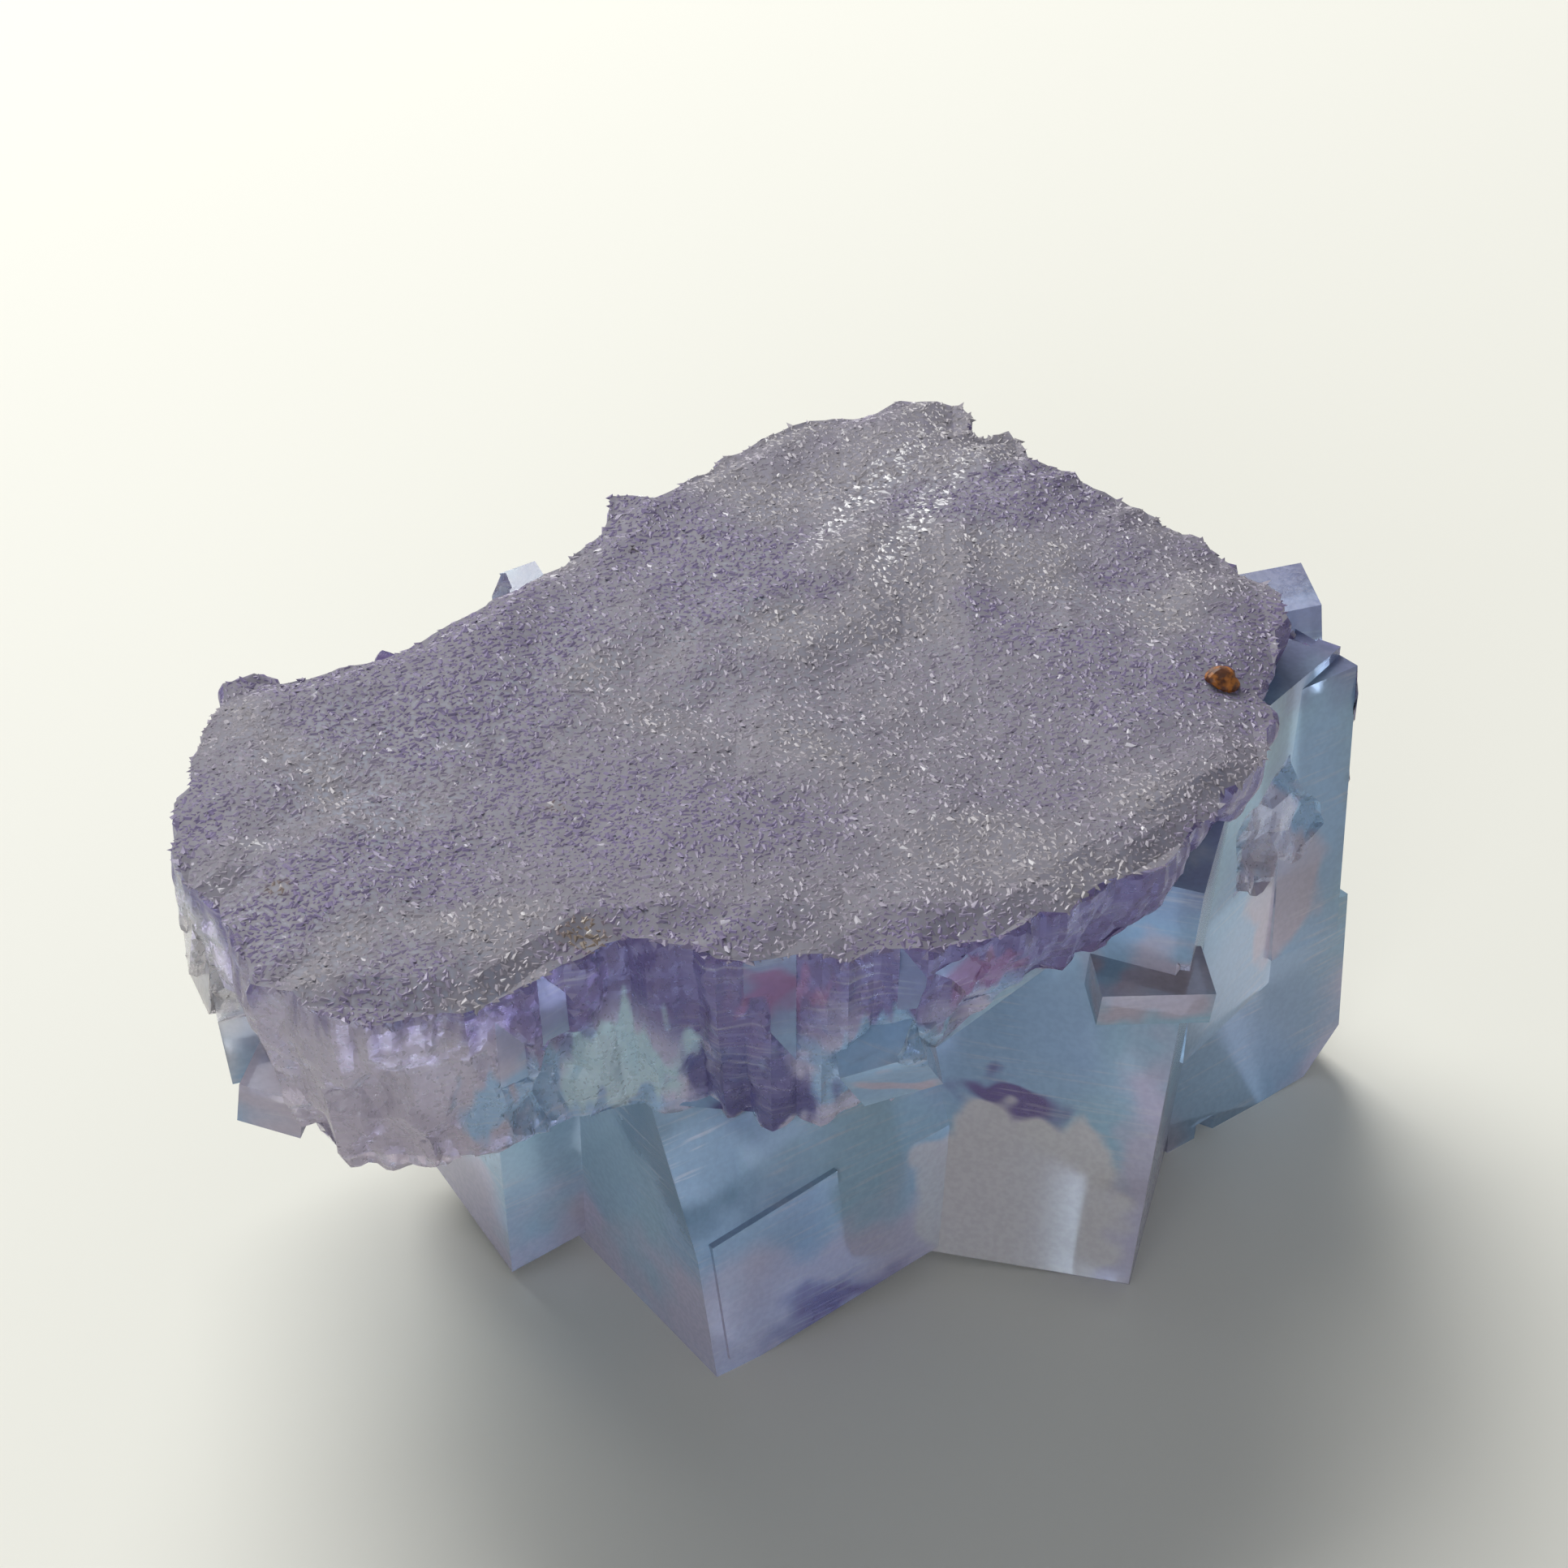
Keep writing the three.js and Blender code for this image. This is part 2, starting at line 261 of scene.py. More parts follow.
class Nodes:
    """Short ways to place and link shader nodes in one tree."""

    def __init__(self, tree):
        self.tree = tree

    def add(self, kind, **settings):
        """A node with its own settings."""
        node = self.tree.nodes.new(kind)
        for name, value in settings.items():
            setattr(node, name, value)
        return node

    def put(self, socket, value):
        """Links a socket to another one, or sets its value."""
        if isinstance(value, bpy.types.NodeSocket):
            self.tree.links.new(value, socket)
        else:
            socket.default_value = value

    def feed(self, node, **inputs):
        """Sets or links a node's inputs, named with underscores for spaces."""
        for name, value in inputs.items():
            self.put(node.inputs[name.replace("_", " ")], value)
        return node

    def math(self, operation, first, second=0.0):
        """One sum on two numbers."""
        node = self.add("ShaderNodeMath", operation=operation)
        self.put(node.inputs[0], first)
        self.put(node.inputs[1], second)
        return node.outputs[0]

    def vector(self, operation, first, second):
        """One sum on two vectors."""
        node = self.add("ShaderNodeVectorMath", operation=operation)
        self.put(node.inputs[0], first)
        self.put(node.inputs[1], second)
        return node.outputs[0]

    def ramp(self, value, low, high, to_low=0.0, to_high=1.0):
        """A soft step between two values."""
        node = self.add("ShaderNodeMapRange", interpolation_type="SMOOTHSTEP")
        self.feed(node, Value=value, From_Min=low, From_Max=high, To_Min=to_low, To_Max=to_high)
        return node.outputs["Result"]

    def mix(self, factor, first, second, blend="MIX"):
        """Two colours mixed by a mask."""
        node = self.add("ShaderNodeMix", data_type="RGBA", blend_type=blend)
        self.put(node.inputs[0], factor)
        for socket, colour in ((node.inputs[6], first), (node.inputs[7], second)):
            linked = isinstance(colour, bpy.types.NodeSocket)
            self.put(socket, colour if linked else (*colour, 1.0))
        return node.outputs[2]

    def noise(self, place, scale, detail):
        """Cloudy noise from 0 to 1."""
        node = self.add("ShaderNodeTexNoise")
        self.feed(node, Vector=place, Scale=scale, Detail=detail)
        return node.outputs

    def place_mm(self):
        """Object coordinates in millimetres."""
        place = self.add("ShaderNodeTexCoord").outputs["Object"]
        return self.vector("DIVIDE", place, (MM, MM, MM))


def new_group(name, inputs, outputs):
    """An empty node group with named sockets, and its helper."""
    tree = bpy.data.node_groups.new(name, "ShaderNodeTree")
    for socket_name, kind, default in inputs:
        socket = tree.interface.new_socket(socket_name, in_out="INPUT", socket_type=kind)
        socket.default_value = default
    for socket_name, kind in outputs:
        tree.interface.new_socket(socket_name, in_out="OUTPUT", socket_type=kind)
    nodes = Nodes(tree)
    return tree, nodes, nodes.add("NodeGroupInput").outputs, nodes.add("NodeGroupOutput").inputs


def zone_group():
    """A soft patch around a centre."""
    tree, nodes, given, out = new_group(
        "Zone",
        [
            ("Place", "NodeSocketVector", (0.0, 0.0, 0.0)),
            ("Centre", "NodeSocketVector", (0.0, 0.0, 0.0)),
            ("Radii", "NodeSocketVector", (1.0, 1.0, 1.0)),
            ("Outside", "NodeSocketFloat", 1.3),
            ("Inside", "NodeSocketFloat", 0.7),
        ],
        [("Mask", "NodeSocketFloat")],
    )
    offset = nodes.vector("SUBTRACT", given["Place"], given["Centre"])
    share = nodes.vector("DIVIDE", offset, given["Radii"])
    length = nodes.add("ShaderNodeVectorMath", operation="LENGTH")
    nodes.feed(length, Vector=share)
    mask = nodes.ramp(length.outputs["Value"], given["Outside"], given["Inside"])
    tree.links.new(mask, out["Mask"])
    return tree


def zone(nodes, group, place, centre, radii, softness):
    """The mask of one patch."""
    node = nodes.add("ShaderNodeGroup", node_tree=group)
    nodes.feed(node, Place=place, Centre=centre, Radii=radii)
    nodes.feed(node, Outside=1.0 + softness, Inside=1.0 - softness)
    return node.outputs["Mask"]


def drifted(nodes, place, scale, reach):
    """Places moved about by noise, so that what is drawn on them has ragged borders."""
    stretched = nodes.vector("MULTIPLY", place, scale)
    cloud = nodes.noise(stretched, 1.0, 1.0)["Color"]
    drift = nodes.vector("SUBTRACT", cloud, (0.5, 0.5, 0.5))
    return nodes.vector("ADD", place, nodes.vector("MULTIPLY", drift, reach))


def new_material(name):
    """A material with only its Principled shader, and its helper."""
    material = bpy.data.materials.new(name)
    material.use_nodes = True
    return material, Nodes(material.node_tree), material.node_tree.nodes["Principled BSDF"]


# See-through cluster


def kind_mask(nodes, name):
    """1 on the faces of one kind, 0 elsewhere."""
    return nodes.add("ShaderNodeAttribute", attribute_name=name).outputs["Fac"]


def cube_colour(nodes, place, look):
    """Lilac feet, blue and turquoise middles and violet tops of the cubes."""
    height = nodes.add("ShaderNodeSeparateXYZ")
    nodes.feed(height, Vector=place)
    cloud = nodes.noise(place, 0.20, 2.0)["Fac"]
    wander = nodes.math("MULTIPLY", nodes.math("SUBTRACT", cloud, 0.5), 9.0)
    level = nodes.math("ADD", height.outputs["Z"], wander)
    bright = nodes.noise(place, 0.13, 0.0)["Fac"]
    middle = nodes.mix(nodes.ramp(bright, 0.42, 0.60), look.blue, look.turquoise)
    colour = nodes.mix(nodes.ramp(level, 4.0, 6.5), look.lilac, middle)
    return nodes.mix(nodes.ramp(level, 18.0, 22.0, 0.0, 0.7), colour, look.violet), level


def wall_colour(nodes, place, level, look):
    """Violet under the crust, then blue and lilac shards."""
    patches = nodes.noise(place, 0.34, 2.0)["Fac"]
    shards = nodes.mix(nodes.ramp(patches, 0.46, 0.56), look.lilac, look.blue)
    return nodes.mix(nodes.ramp(level, 17.5, 20.5), shards, look.violet)


# Patches of colour seen on the cluster: name, middle and radii in millimetres, colour and softness
PATCHES = (
    ("left lump", (-15.5, -19.5, 19.0), (6.0, 6.0, 5.0), "pink", 0.25),
    ("left small cubes", (-22.0, -12.0, 19.0), (2.2, 5.0, 4.0), "clear", 0.3),
    ("pale facets", (-6.4, -16.4, 18.0), (2.4, 4.0, 2.2), "pale", 0.2),
    ("blue shard", (-10.3, -18.0, 18.6), (1.6, 4.0, 1.6), "blue", 0.25),
    ("dark patch", (-1.6, -17.0, 17.2), (2.4, 4.0, 2.3), "deep_violet", 0.2),
    ("chip", (3.7, -18.0, 18.9), (2.4, 3.0, 1.7), "blue", 0.25),
    ("chip edge", (3.6, -18.4, 18.0), (2.0, 3.0, 0.6), "pink", 0.3),
    ("magenta spot", (-0.8, -18.0, 22.4), (1.6, 3.0, 0.9), "magenta", 0.4),
    ("magenta fleck", (6.6, -17.0, 22.0), (1.3, 3.0, 1.0), "magenta", 0.4),
    ("front shade", (-3.9, -13.9, 11.6), (3.4, 3.4, 3.4), "dim", 0.5),
    ("right mass", (19.0, 2.0, 4.5), (5.0, 6.0, 6.5), "blue", 0.3),
    ("window", (8.9, -8.8, 4.2), (4.5, 7.0, 5.0), "clear", 0.08),
    ("wisp", (8.3, -8.6, 9.5), (2.0, 4.0, 0.9), "violet", 0.3),
    ("right band", (13.9, -9.8, 5.0), (1.2, 3.0, 8.0), "lilac", 0.4),
    ("small cube", (-9.5, -12.0, 4.0), (4.0, 4.0, 6.0), "turquoise", 0.4),
    ("foot bloom", (1.5, -11.0, 0.6), (2.6, 3.0, 1.0), "violet", 0.8),
    ("ledge bar", (13.2, -10.6, 16.8), (2.8, 2.4, 1.4), "pink", 0.3),
    ("broken plate", (19.9, 2.5, 11.5), (2.0, 3.0, 2.8), "pink", 0.25),
)


def mottle_group():
    """Fine cloudiness, and streaks along the level growth lines of the cubes."""
    tree, nodes, given, out = new_group(
        "Mottle",
        [("Place", "NodeSocketVector", (0.0, 0.0, 0.0))],
        [("Cloud", "NodeSocketFloat"), ("Streaks", "NodeSocketFloat")],
    )
    cloud = nodes.noise(given["Place"], 4.0, 1.0)["Fac"]
    tree.links.new(cloud, out["Cloud"])
    drawn = nodes.vector("MULTIPLY", given["Place"], (0.35, 0.35, 7.0))
    lines = nodes.ramp(nodes.noise(drawn, 1.0, 2.0)["Fac"], 0.50, 0.75)
    where = nodes.ramp(nodes.noise(given["Place"], 0.28, 0.0)["Fac"], 0.42, 0.62)
    tree.links.new(nodes.math("MULTIPLY", lines, where), out["Streaks"])
    return tree


def fluorite_material(look):
    """Clear fluorite with zones of colour, rough where it is broken."""
    material, nodes, shader = new_material("clear_fluorite")
    place = nodes.place_mm()
    broken = kind_mask(nodes, "broken")
    crust = kind_mask(nodes, "crust")
    mottle = nodes.add("ShaderNodeGroup", node_tree=mottle_group())
    nodes.feed(mottle, Place=place)
    colour, level = cube_colour(nodes, place, look)
    colour = nodes.mix(broken, colour, wall_colour(nodes, place, level, look))
    grain = nodes.mix(broken, (0.5, 0.5, 0.5), (1.4, 1.4, 0.3))
    ragged = drifted(nodes, place, grain, (3.0, 3.0, 5.0))
    group = zone_group()
    for _, centre, radii, tint, softness in PATCHES:
        mask = zone(nodes, group, ragged, centre, radii, softness)
        colour = nodes.mix(mask, colour, getattr(look, tint))
    colour = nodes.mix(nodes.math("MULTIPLY", mottle.outputs["Streaks"], 0.35), colour, look.clear)
    shade = nodes.ramp(mottle.outputs["Cloud"], 0.30, 0.70, 0.95, 1.04)
    grey = nodes.add("ShaderNodeCombineColor")
    nodes.feed(grey, Red=shade, Green=shade, Blue=shade)
    colour = nodes.mix(1.0, colour, grey.outputs["Color"], "MULTIPLY")
    colour = nodes.mix(crust, colour, look.ground)
    rough = nodes.ramp(mottle.outputs["Cloud"], 0.35, 0.65, 0.18, 0.26)
    rough = nodes.math("ADD", rough, nodes.math("MULTIPLY", broken, 0.08))
    rough = nodes.math("ADD", rough, nodes.math("MULTIPLY", crust, 0.4))
    bump = nodes.add("ShaderNodeBump")
    nodes.feed(bump, Height=mottle.outputs["Cloud"], Strength=0.08, Distance=0.00006)
    nodes.feed(shader, Base_Color=colour, Roughness=rough, Normal=bump.outputs["Normal"])
    nodes.feed(shader, IOR=FLUORITE_IOR, Transmission_Weight=0.60)
    absorption = nodes.add("ShaderNodeVolumeAbsorption")
    nodes.feed(absorption, Color=(0.62, 0.74, 0.92, 1.0), Density=25.0)
    nodes.feed(nodes.tree.nodes["Material Output"], Volume=absorption.outputs["Volume"])
    return material


def face_kinds(shape, look):
    """Marks every face as crystal, broken or crust."""
    kinds = shape.faces.layers.int.new("kind")
    seen = set()
    for start in shape.faces:
        if start in seen:
            continue
        seen.add(start)
        region = [start]
        for face in region:
            for edge in face.edges:
                for other in edge.link_faces:
                    if other not in seen and other.normal.dot(start.normal) > SAME_PLANE:
                        seen.add(other)
                        region.append(other)
        area = sum(face.calc_area() for face in region) / MM**2
        for face in region:
            height = face.calc_center_median().z
            if face.normal.z > FACING_UP and height > look.crust_foot:
                face[kinds] = CRUST
            elif area < look.flat_area and height > look.wall_foot:
                face[kinds] = BROKEN
            else:
                face[kinds] = CRYSTAL
    return kinds


def fade_step(shape):
    """Lets the step on the front cube run out into the cube's face at its far end."""
    on_face = Vector(STEP_FOOT) * MM
    outward = Vector(STEP_OUTWARD).normalized()
    low = Vector(STEP_LOW) * MM
    high = Vector(STEP_HIGH) * MM
    for vert in shape.verts:
        inside = all(a <= b <= c for a, b, c in zip(low, vert.co, high))
        sink = (vert.co - on_face).dot(outward) - STEP_LEFT * MM
        if inside and sink > 0.0:
            vert.co -= outward * sink


def worn_edges(shape, kinds, width):
    """Joins the triangles of each crystal face, and takes the sharpness off the edges between them."""
    inside = [e for e in shape.edges if all(face[kinds] == CRYSTAL for face in e.link_faces)]
    corners = [v for v in shape.verts if all(face[kinds] == CRYSTAL for face in v.link_faces)]
    bmesh.ops.dissolve_limit(shape, angle_limit=FLAT_WITHIN, verts=corners, edges=inside)
    sharp = [
        e
        for e in shape.edges
        if len(e.link_faces) == 2
        and all(face[kinds] == CRYSTAL for face in e.link_faces)
        and e.calc_face_angle_signed() > WORN_FROM
        and e.calc_length() > WORN_LENGTH * width
    ]
    bmesh.ops.bevel(
        shape,
        geom=sharp,
        offset=width,
        offset_type="OFFSET",
        affect="EDGES",
        segments=1,
        profile=0.5,
        material=-1,
        clamp_overlap=True,
    )
    bmesh.ops.triangulate(shape, faces=[face for face in shape.faces if len(face.verts) > 3])


def refine(shape, kinds, kind, longest):
    """Splits the edges of one kind of face until none is longer than asked."""
    for _ in range(SPLIT_ROUNDS):
        faces = [face for face in shape.faces if face[kinds] == kind]
        around = dict.fromkeys(edge for face in faces for edge in face.edges)
        edges = [edge for edge in around if edge.calc_length() > longest]
        if not edges:
            return
        bmesh.ops.subdivide_edges(shape, edges=edges, cuts=1)
        bmesh.ops.triangulate(shape, faces=[face for face in shape.faces if len(face.verts) > 3])


def splinter(shape, kinds, height):
    """Raises feathery splinters on the broken wall, and leaves its borders where they are."""
    inner = [v for v in shape.verts if all(face[kinds] == BROKEN for face in v.link_faces)]
    moves = []
    for vert in inner:
        place = vert.co / MM
        feather = noise.noise(Vector((place.x * 1.1, place.y * 1.1, place.z * 0.35)))
        chip = noise.noise(place * 0.8)
        moves.append((vert, vert.normal * height * (0.7 * feather + 0.6 * abs(chip))))
    for vert, move in moves:
        vert.co += move


def write_kinds(mesh, shape_kinds):
    """Keeps the kind of each face where the material can read it."""
    for name, kind in (("broken", BROKEN), ("crust", CRUST)):
        attribute = mesh.attributes.new(name, "FLOAT", "FACE")
        attribute.data.foreach_set("value", [1.0 if k == kind else 0.0 for k in shape_kinds])


class FLUORITE_OT_cluster(bpy.types.Operator):
    """Build the see-through cubes with their broken wall"""

    bl_idname = "fluorite.cluster"
    bl_label = "Crystal cluster"

    def execute(self, context):
        look = context.scene.fluorite_cluster
        shape = bmesh.new()
        shape.from_mesh(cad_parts[NODE].data)
        bmesh.ops.remove_doubles(shape, verts=shape.verts, dist=1e-6)
        kinds = face_kinds(shape, look)
        fade_step(shape)
        worn_edges(shape, kinds, look.edge_width)
        refine(shape, kinds, BROKEN, look.broken_step)
        shape.normal_update()
        splinter(shape, kinds, look.broken_height)
        shape_kinds = [face[kinds] for face in shape.faces]
        piece = add_piece("crystal_cluster", shape, fluorite_material(look))
        write_kinds(piece.data, shape_kinds)
        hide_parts(NODE)
        return {"FINISHED"}


# Sugary crust

# Marks on the crust: name, middle and radii in millimetres, colour, strength and softness
CRUST_MARKS = (
    ("warm middle", (2.0, -4.0), (9.0, 6.0), "grey", 0.6, 0.6),
    ("warm front", (3.0, -13.5), (12.0, 2.5), "grey", 0.7, 0.5),
    ("violet hollow", (-5.0, -10.5), (7.0, 3.5), "violet", 1.0, 0.6),
    ("violet right", (13.0, -3.0), (5.0, 4.0), "violet", 0.6, 0.6),
    ("fibre", (10.2, 2.7), (0.5, 0.12), "speck", 0.8, 0.4),
    ("front stain", (-7.5, -16.9), (0.9, 0.7), "stain", 0.7, 0.5),
    ("left stain", (-18.45, -14.5), (0.5, 0.4), "stain", 0.6, 0.5),
    ("first speck", (-4.09, 9.41), (0.25, 0.3), "speck", 0.9, 0.3),
    ("second speck", (-6.79, 8.97), (0.2, 0.25), "speck", 0.9, 0.3),
    ("third speck", (-7.37, 11.21), (0.2, 0.2), "speck", 0.8, 0.3),
    ("left fleck", (-19.62, -11.81), (0.5, 0.35), "frost_and_glint", 0.8, 0.4),
    ("middle fleck", (-12.95, -5.07), (0.9, 0.25), "frost_and_glint", 0.6, 0.5),
    ("front fleck", (-8.93, -9.44), (0.4, 0.3), "stain", 0.5, 0.5),
)

# Frosty streaks across the back of the crust: middle in millimetres and turn
FROST_STREAKS = (((5.3, 11.8), -0.40), ((2.9, 13.4), -0.47))
STREAK_RADII = (0.7, 5.0)


def soft_step(value, low, high):
    """A soft step from 0 at low to 1 at high."""
    share = min(max((value - low) / (high - low), 0.0), 1.0)
    return share * share * (3.0 - 2.0 * share)


def in_patch(place, centre, radii, softness, turn=0.0):
    """How far a place on the crust is inside a soft, turned ellipse."""
    offset = Vector((place.x - centre[0], place.y - centre[1]))
    offset.rotate(Matrix.Rotation(-turn, 2))
    far = math.hypot(offset.x / radii[0], offset.y / radii[1])
    return 1.0 - soft_step(far, 1.0 - softness, 1.0 + softness)


def grain_colour(place, tone, look):
    """Grey to violet ground, then the marks, the frosty streaks and a few painted white glints."""
    at = place / MM
    ragged = at + noise.noise_vector(at * 1.1) * 0.4
    cloud = noise.fractal(at * 0.14, 1.0, 2.0, 3)
    colour = Vector(look.violet).lerp(Vector(look.grey), soft_step(cloud, -0.3, 0.3))
    for _, centre, radii, tint, strength, softness in CRUST_MARKS:
        share = strength * in_patch(ragged, centre, radii, softness)
        colour = colour.lerp(Vector(getattr(look, tint)), share)
    streak = max(in_patch(ragged, centre, STREAK_RADII, 0.6, turn) for centre, turn in FROST_STREAKS)
    # Frost in the streaks, and painted white glints on the few brightest grains
    frost_and_glint = max(streak * soft_step(tone, 0.35, 0.75), 0.5 * soft_step(tone, 0.97, 1.0))
    shade = 0.80 + 0.35 * soft_step(tone, 0.0, 0.95)
    return colour.lerp(Vector(look.frost_and_glint), frost_and_glint) * shade


def sugar_material():
    """Small glassy grains, each with its own colour."""
    material, nodes, shader = new_material("sugar_crust")
    tint = nodes.add("ShaderNodeAttribute", attribute_name="tint").outputs["Color"]
    cloud = nodes.noise(nodes.place_mm(), 3.0, 1.0)["Fac"]
    rough = nodes.ramp(cloud, 0.35, 0.65, 0.28, 0.48)
    nodes.feed(shader, Base_Color=tint, Roughness=rough, IOR=FLUORITE_IOR)
    return material


def crust_points(look, cluster):
    """Jittered places on the crust, each with the way the surface faces there."""
    chance = random.Random(look.seed)
    tree = BVHTree.FromPolygons(
        [v.co for v in cluster.vertices], [tuple(p.vertices) for p in cluster.polygons]
    )
    crust = cluster.attributes["crust"].data
    low, high = CAD_BOX
    across = int((high[0] - low[0]) / look.pitch)
    deep = int((high[1] - low[1]) / look.pitch)
    for i in range(across):
        for j in range(deep):
            x = low[0] + (i + chance.random()) * look.pitch
            y = low[1] + (j + chance.random()) * look.pitch
            place, normal, face, _ = tree.ray_cast(Vector((x, y, LOOKOUT)), Vector((0.0, 0.0, -1.0)))
            if place is not None and crust[face].value > 0.5:
                yield place, normal, chance


def grain_template():
    """The corner of a small cube, pointing up, one unit wide: its points and its faces."""
    shape = bmesh.new()
    bmesh.ops.create_cone(shape, segments=3, cap_ends=True, radius1=0.5, radius2=0.0, depth=GRAIN_HEIGHT)
    bmesh.ops.remove_doubles(shape, verts=shape.verts, dist=1e-4)
    shape.verts.index_update()
    points = [vert.co.copy() for vert in shape.verts]
    faces = [[vert.index for vert in face.verts] for face in shape.faces]
    shape.free()
    return points, faces


def tilted(normal, chance, lean):
    """A turn that points a grain along a normal, leaning a little to a chance side."""
    upright = normal.to_track_quat("Z", "Y")
    about = Quaternion((0.0, 0.0, 1.0), chance.uniform(0.0, math.tau))
    side = Quaternion((1.0, 0.0, 0.0), chance.uniform(0.0, lean))
    return upright @ about @ side


class FLUORITE_OT_sugar(bpy.types.Operator):
    """Cover the crust with small crystal grains"""

    bl_idname = "fluorite.sugar"
    bl_label = "Sugary crust"

    def execute(self, context):
        look = context.scene.fluorite_sugar
        points, faces = grain_template()
        all_points = []
        all_faces = []
        tints = []
        for place, normal, chance in crust_points(look, bpy.data.objects["crystal_cluster"].data):
            size = look.smallest + (look.largest - look.smallest) * chance.random() ** 2
            turn = tilted(normal, chance, look.lean)
            first = len(all_points)
            all_points += [place + turn @ (point * size) for point in points]
            all_faces += [[first + index for index in face] for face in faces]
            tints += [*grain_colour(place, chance.random(), look), 1.0] * len(faces)
        mesh = bpy.data.meshes.new("sugar_crust")
        mesh.from_pydata(all_points, [], all_faces)
        tint = mesh.attributes.new("tint", "FLOAT_COLOR", "FACE")
        tint.data.foreach_set("color", tints)
        add_object("sugar_crust", mesh, sugar_material())
        return {"FINISHED"}


# Rusty grain


def rust_material(look):
    """Rusty orange with darker pits."""
    material, nodes, shader = new_material("rust")
    place = nodes.place_mm()
    cloud = nodes.noise(place, 2.5, 4.0)["Fac"]
    colour = nodes.mix(nodes.ramp(cloud, 0.4, 0.6), look.dark, look.light)
    nodes.feed(shader, Base_Color=colour, Roughness=0.55)
    return material


class FLUORITE_OT_rust_grain(bpy.types.Operator):
    """Put the rusty grain on the crust"""

    bl_idname = "fluorite.rust_grain"
    bl_label = "Rusty grain"

    def execute(self, context):
        look = context.scene.fluorite_rust
        place = Vector(RUST_PLACE) * MM
        shape = bmesh.new()
        bmesh.ops.create_icosphere(shape, subdivisions=3, radius=look.size / 2)
        for vert in shape.verts:
            vert.co *= 1.0 + 0.45 * noise.noise(vert.co * 1800.0)
        bmesh.ops.scale(shape, verts=shape.verts, vec=(1.0, 0.8, 0.75))
        bmesh.ops.translate(shape, verts=shape.verts, vec=place)
        add_piece("rust_grain", shape, rust_material(look))
        return {"FINISHED"}


# Stage


def add_floor(look):
    """A plain pale floor."""
    shape = bmesh.new()
    bmesh.ops.create_grid(shape, x_segments=1, y_segments=1, size=2.0)
    mesh = bpy.data.meshes.new("floor")
    shape.to_mesh(mesh)
    shape.free()
    material, nodes, shader = new_material("pale_floor")
    nodes.feed(shader, Base_Color=(*look.floor, 1.0), Roughness=0.8)
    mesh.materials.append(material)
    floor = bpy.data.objects.new("floor", mesh)
    bpy.context.scene.collection.objects.link(floor)
    floor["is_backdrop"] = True


def add_area_light(name, place, size, power, colour):
    """A square soft light that looks at the cluster."""
    light = bpy.data.lights.new(name, "AREA")
    light.size = size
    light.energy = power
    light.color = colour
    lamp = bpy.data.objects.new(name, light)
    lamp.location = place
    lamp.rotation_euler = (Vector((0.0, 0.0, 0.01)) - Vector(place)).to_track_quat("-Z", "Y").to_euler()
    bpy.context.scene.collection.objects.link(lamp)


def add_sky(look):
    """Even light from all round."""
    world = bpy.data.worlds.new("sky")
    world.use_nodes = True
    background = world.node_tree.nodes["Background"]
    background.inputs["Color"].default_value = (0.95, 0.97, 1.0, 1.0)
    background.inputs["Strength"].default_value = look.sky
    bpy.context.scene.world = world


def add_camera(look):
    """The camera at the photograph's angle."""
    camera = bpy.data.cameras.new("camera")
    camera.sensor_width = 36.0
    camera.angle = look.view_angle
    camera.clip_start = 0.005
    viewer = bpy.data.objects.new("camera", camera)
    forward = Vector((0.0, math.cos(look.elevation), -math.sin(look.elevation)))
    viewer.location = Vector(look.aim) - forward * look.distance
    viewer.rotation_euler = (math.pi / 2 - look.elevation, 0.0, 0.0)
    bpy.context.scene.collection.objects.link(viewer)
    bpy.context.scene.camera = viewer


def limit_bounces(light_paths):
    """As many bounces as the light needs to get through the cluster."""
    light_paths.max_bounces = 4
    light_paths.transmission_bounces = 4
    light_paths.diffuse_bounces = 1
    light_paths.glossy_bounces = 2


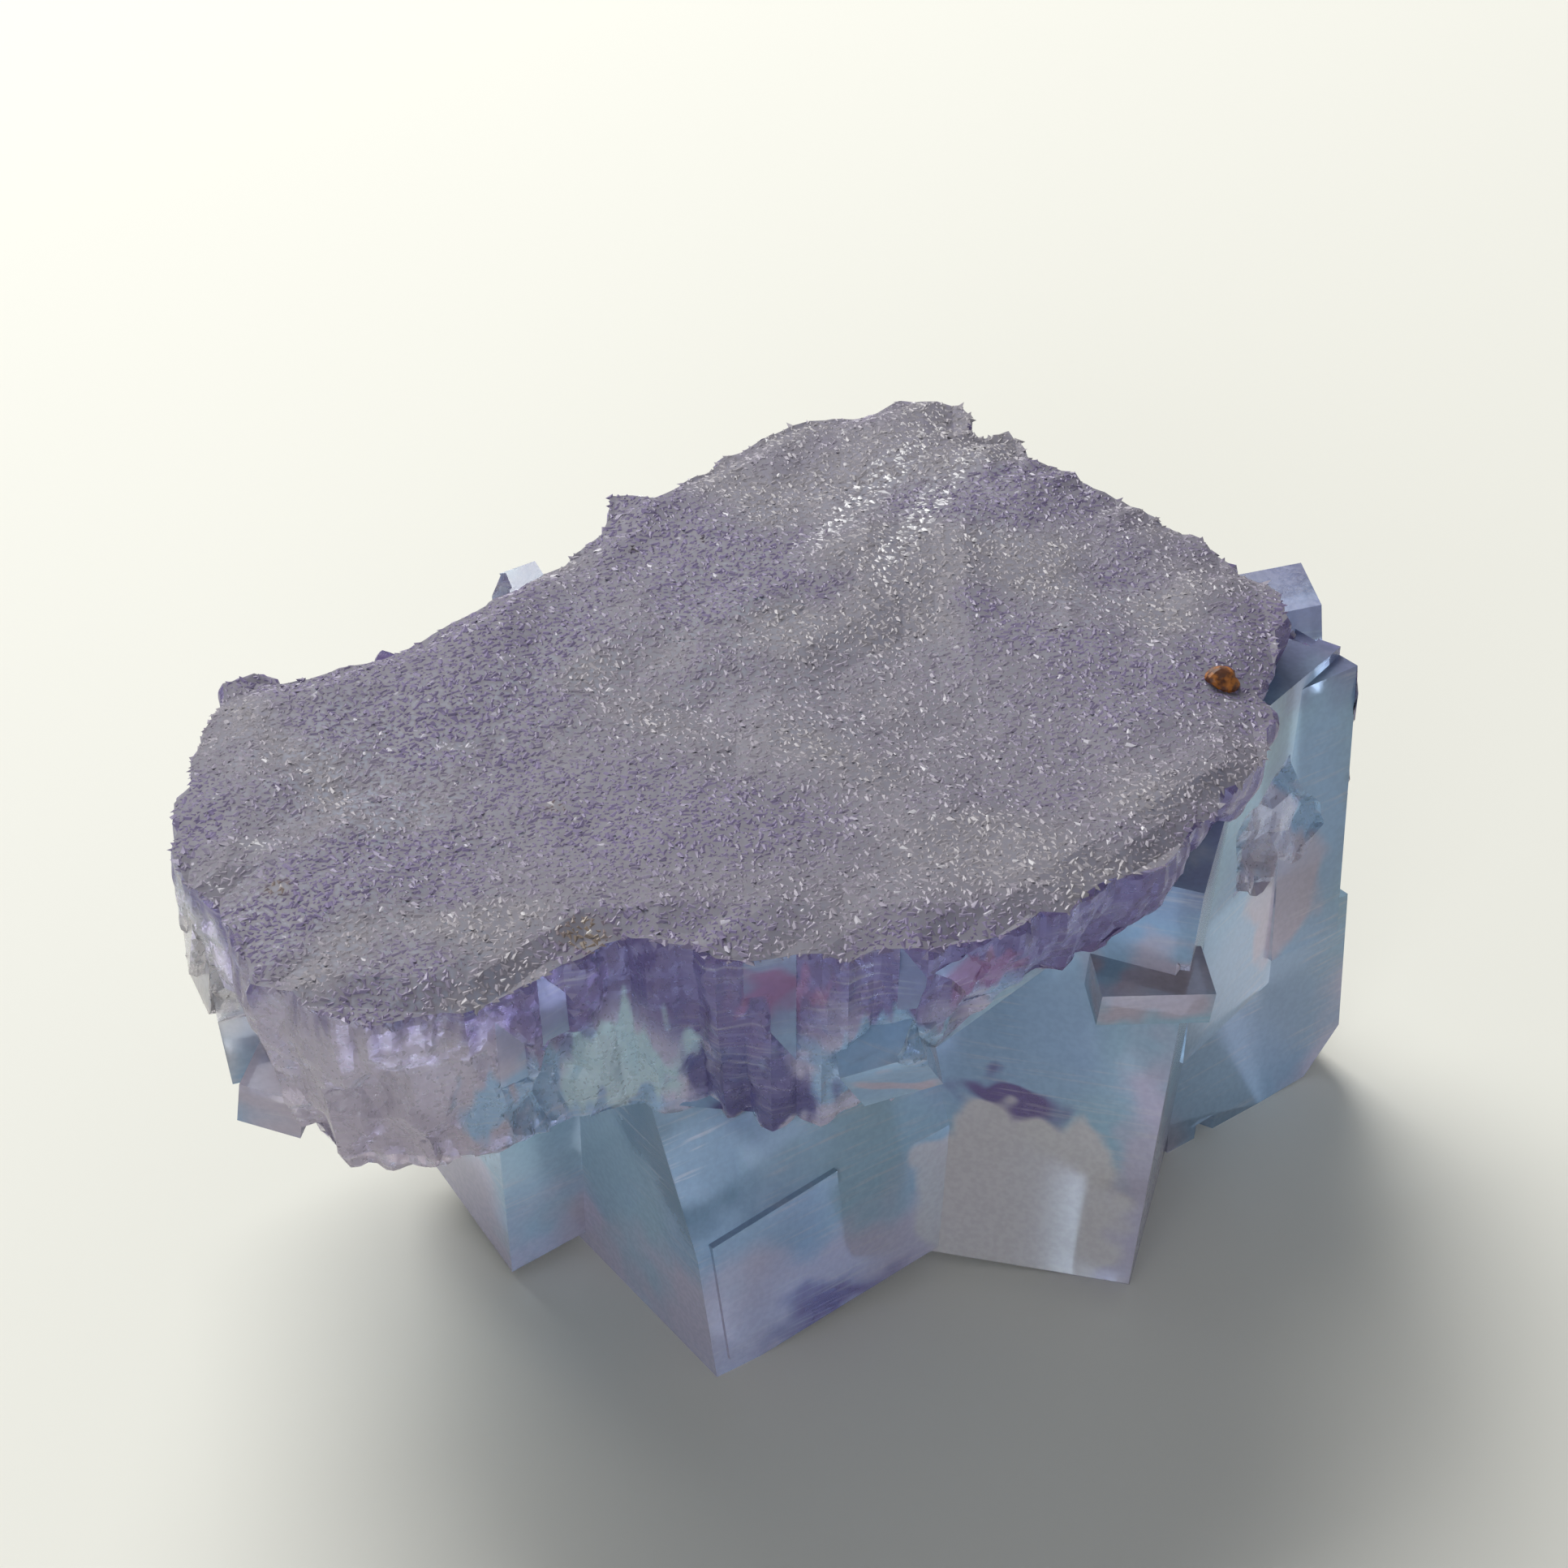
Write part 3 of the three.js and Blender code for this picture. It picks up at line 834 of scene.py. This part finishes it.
class FLUORITE_OT_stage(bpy.types.Operator):
    """Put up the floor, the lights and the camera"""

    bl_idname = "fluorite.stage"
    bl_label = "Stage"

    def execute(self, context):
        look = context.scene.fluorite_stage
        add_floor(look)
        add_area_light("key_light", KEY_PLACE, 0.5, look.key_power, (1.0, 0.99, 0.95))
        add_area_light("fill_light", FILL_PLACE, 0.4, look.fill_power, (0.96, 0.98, 1.0))
        add_sky(look)
        add_camera(look)
        context.scene.view_settings.view_transform = "Standard"
        limit_bounces(context.scene.cycles)
        return {"FINISHED"}


class FLUORITE_PT_sidebar(bpy.types.Panel):
    """Lists the pieces of the cluster"""

    bl_idname = "FLUORITE_PT_sidebar"
    bl_label = "Fluorite Cube Cluster"
    bl_space_type = "VIEW_3D"
    bl_region_type = "UI"
    bl_category = "Fluorite"

    def draw(self, context):
        for operator in OPERATORS:
            self.layout.operator(operator.bl_idname)
        for holder in LOOKS:
            look = getattr(context.scene, holder)
            for name in look.__annotations__:
                self.layout.prop(look, name)


LOOKS = {
    "fluorite_cluster": ClusterLook,
    "fluorite_sugar": SugarLook,
    "fluorite_rust": RustLook,
    "fluorite_stage": StageLook,
}
OPERATORS = (FLUORITE_OT_cluster, FLUORITE_OT_sugar, FLUORITE_OT_rust_grain, FLUORITE_OT_stage)


def register():
    for look in LOOKS.values():
        bpy.utils.register_class(look)
    for operator in OPERATORS:
        bpy.utils.register_class(operator)
    bpy.utils.register_class(FLUORITE_PT_sidebar)
    for holder, look in LOOKS.items():
        setattr(bpy.types.Scene, holder, PointerProperty(type=look))


def unregister():
    for holder in LOOKS:
        delattr(bpy.types.Scene, holder)
    bpy.utils.unregister_class(FLUORITE_PT_sidebar)
    for operator in reversed(OPERATORS):
        bpy.utils.unregister_class(operator)
    for look in reversed(LOOKS.values()):
        bpy.utils.unregister_class(look)


def main():
    register()
    bpy.ops.fluorite.cluster()
    bpy.ops.fluorite.sugar()
    bpy.ops.fluorite.rust_grain()
    bpy.ops.fluorite.stage()
    boxes = {"cad": CAD_BOX, "visual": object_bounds()}
    plain = {name: [[float(v) for v in corner] for corner in box] for name, box in boxes.items()}


if __name__ == "__main__":
    main()
